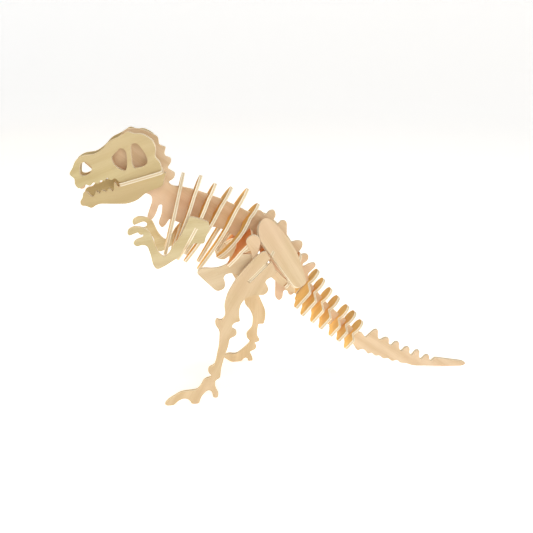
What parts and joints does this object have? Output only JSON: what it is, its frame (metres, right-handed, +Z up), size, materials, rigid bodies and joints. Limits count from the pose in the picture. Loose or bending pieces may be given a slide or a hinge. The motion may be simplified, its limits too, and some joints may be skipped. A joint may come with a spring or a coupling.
{
  "type": "wooden 3d jigsaw model",
  "caption": "Standing skeleton of a two-legged dinosaur, built from slotted plywood plates: a spine board with crossing ribs and tail plates, skull, arms, hips and legs.",
  "frame": {"origin": "on the standing surface, below the middle of the model's length and width", "axes": "+Z up, the animal faces -X, +Y to its right side"},
  "size_m": [0.3976, 0.078, 0.266],
  "materials": {
    "spine_ply": "bare sanded plywood",
    "head_ply": "bare sanded plywood",
    "rib_ply": "bare sanded plywood",
    "limb_ply": "bare sanded plywood",
    "hip_ply": "bare sanded plywood",
    "tail_ply": "bare sanded plywood"
  },
  "bodies": {
    "root": {"spine_board": "spine_ply", "hip_plate_front": "hip_ply", "hip_plate_rear": "hip_ply", "sacral_plate": "hip_ply", "pelvis_rail_left": "hip_ply", "pelvis_rail_right": "hip_ply"},
    "head": {"palate_plate": "head_ply"},
    "skull_plate_left": {"skull_plate_left": "head_ply"},
    "skull_plate_right": {"skull_plate_right": "head_ply"},
    "jaw_plate_left": {"jaw_plate_left": "head_ply"},
    "jaw_plate_right": {"jaw_plate_right": "head_ply"},
    "rib_1": {"rib_1": "rib_ply"},
    "rib_2": {"rib_2": "rib_ply"},
    "rib_3": {"rib_3": "rib_ply"},
    "rib_4": {"rib_4": "rib_ply"},
    "rib_5": {"rib_5": "rib_ply"},
    "rib_6": {"rib_6": "rib_ply"},
    "arm_left": {"arm_left": "limb_ply"},
    "arm_right": {"arm_right": "limb_ply"},
    "ilium_left": {"ilium_left": "hip_ply"},
    "ilium_right": {"ilium_right": "hip_ply"},
    "pubis_left": {"pubis_left": "limb_ply"},
    "pubis_right": {"pubis_right": "limb_ply"},
    "leg_left": {"leg_left": "limb_ply"},
    "leg_right": {"leg_right": "limb_ply"},
    "tail_plate_1": {"tail_plate_1": "tail_ply"},
    "tail_plate_2": {"tail_plate_2": "tail_ply"},
    "tail_plate_3": {"tail_plate_3": "tail_ply"},
    "tail_plate_4": {"tail_plate_4": "tail_ply"},
    "tail_plate_5": {"tail_plate_5": "tail_ply"},
    "tail_plate_6": {"tail_plate_6": "tail_ply"},
    "tail_plate_7": {"tail_plate_7": "tail_ply"}
  },
  "joints": [
    {"name": "head_slide", "type": "slide", "parent": "root", "child": "head", "axis": [-0.9563, 0, -0.2924], "range_m": [0, 0.024]},
    {"name": "skull_left_lift", "type": "slide", "parent": "head", "child": "skull_plate_left", "axis": [-0.2924, 0, 0.9563], "range_m": [0, 0.012]},
    {"name": "skull_right_lift", "type": "slide", "parent": "head", "child": "skull_plate_right", "axis": [-0.2924, 0, 0.9563], "range_m": [0, 0.012]},
    {"name": "jaw_left_drop", "type": "slide", "parent": "head", "child": "jaw_plate_left", "axis": [0.2924, 0, -0.9563], "range_m": [0, 0.012]},
    {"name": "jaw_right_drop", "type": "slide", "parent": "head", "child": "jaw_plate_right", "axis": [0.2924, 0, -0.9563], "range_m": [0, 0.012]},
    {"name": "rib_1_lift", "type": "slide", "parent": "root", "child": "rib_1", "axis": [0.2689, 0, 0.9632], "range_m": [0, 0.07]},
    {"name": "rib_2_lift", "type": "slide", "parent": "root", "child": "rib_2", "axis": [0.3827, 0, 0.9239], "range_m": [0, 0.07]},
    {"name": "rib_3_lift", "type": "slide", "parent": "root", "child": "rib_3", "axis": [0.4879, 0, 0.8729], "range_m": [0, 0.045]},
    {"name": "rib_4_lift", "type": "slide", "parent": "root", "child": "rib_4", "axis": [0.565, 0, 0.8251], "range_m": [0, 0.07]},
    {"name": "rib_5_lift", "type": "slide", "parent": "root", "child": "rib_5", "axis": [0.5519, 0, 0.8339], "range_m": [0, 0.07]},
    {"name": "rib_6_lift", "type": "slide", "parent": "root", "child": "rib_6", "axis": [0.6401, 0, 0.7683], "range_m": [0, 0.055]},
    {"name": "arm_left_lift", "type": "slide", "parent": "rib_3", "child": "arm_left", "axis": [0.4879, 0, 0.8729], "range_m": [0, 0.02]},
    {"name": "arm_right_lift", "type": "slide", "parent": "rib_3", "child": "arm_right", "axis": [0.4879, 0, 0.8729], "range_m": [0, 0.02]},
    {"name": "ilium_left_lift", "type": "slide", "parent": "root", "child": "ilium_left", "axis": [0.5337, -0.6561, 0.5337], "range_m": [0, 0.02]},
    {"name": "ilium_right_lift", "type": "slide", "parent": "root", "child": "ilium_right", "axis": [0.5337, 0.6561, 0.5337], "range_m": [0, 0.02]},
    {"name": "pubis_left_slide", "type": "slide", "parent": "root", "child": "pubis_left", "axis": [-0.7071, 0, -0.7071], "range_m": [0, 0.02]},
    {"name": "pubis_right_slide", "type": "slide", "parent": "root", "child": "pubis_right", "axis": [-0.7071, 0, -0.7071], "range_m": [0, 0.02]},
    {"name": "leg_left_slide", "type": "slide", "parent": "root", "child": "leg_left", "axis": [-0.7071, 0, -0.7071], "range_m": [0, 0.025]},
    {"name": "leg_right_slide", "type": "slide", "parent": "root", "child": "leg_right", "axis": [-0.7071, 0, -0.7071], "range_m": [0, 0.025]},
    {"name": "tail_1_lift", "type": "slide", "parent": "root", "child": "tail_plate_1", "axis": [0.6428, 0, 0.766], "range_m": [0, 0.03]},
    {"name": "tail_2_lift", "type": "slide", "parent": "root", "child": "tail_plate_2", "axis": [0.6428, 0, 0.766], "range_m": [0, 0.03]},
    {"name": "tail_3_lift", "type": "slide", "parent": "root", "child": "tail_plate_3", "axis": [0.6428, 0, 0.766], "range_m": [0, 0.03]},
    {"name": "tail_4_lift", "type": "slide", "parent": "root", "child": "tail_plate_4", "axis": [0.6428, 0, 0.766], "range_m": [0, 0.03]},
    {"name": "tail_5_lift", "type": "slide", "parent": "root", "child": "tail_plate_5", "axis": [0.6428, 0, 0.766], "range_m": [0, 0.03]},
    {"name": "tail_6_lift", "type": "slide", "parent": "root", "child": "tail_plate_6", "axis": [0.6428, 0, 0.766], "range_m": [0, 0.03]},
    {"name": "tail_7_lift", "type": "slide", "parent": "root", "child": "tail_plate_7", "axis": [0.6428, 0, 0.766], "range_m": [0, 0.03]}
  ]
}
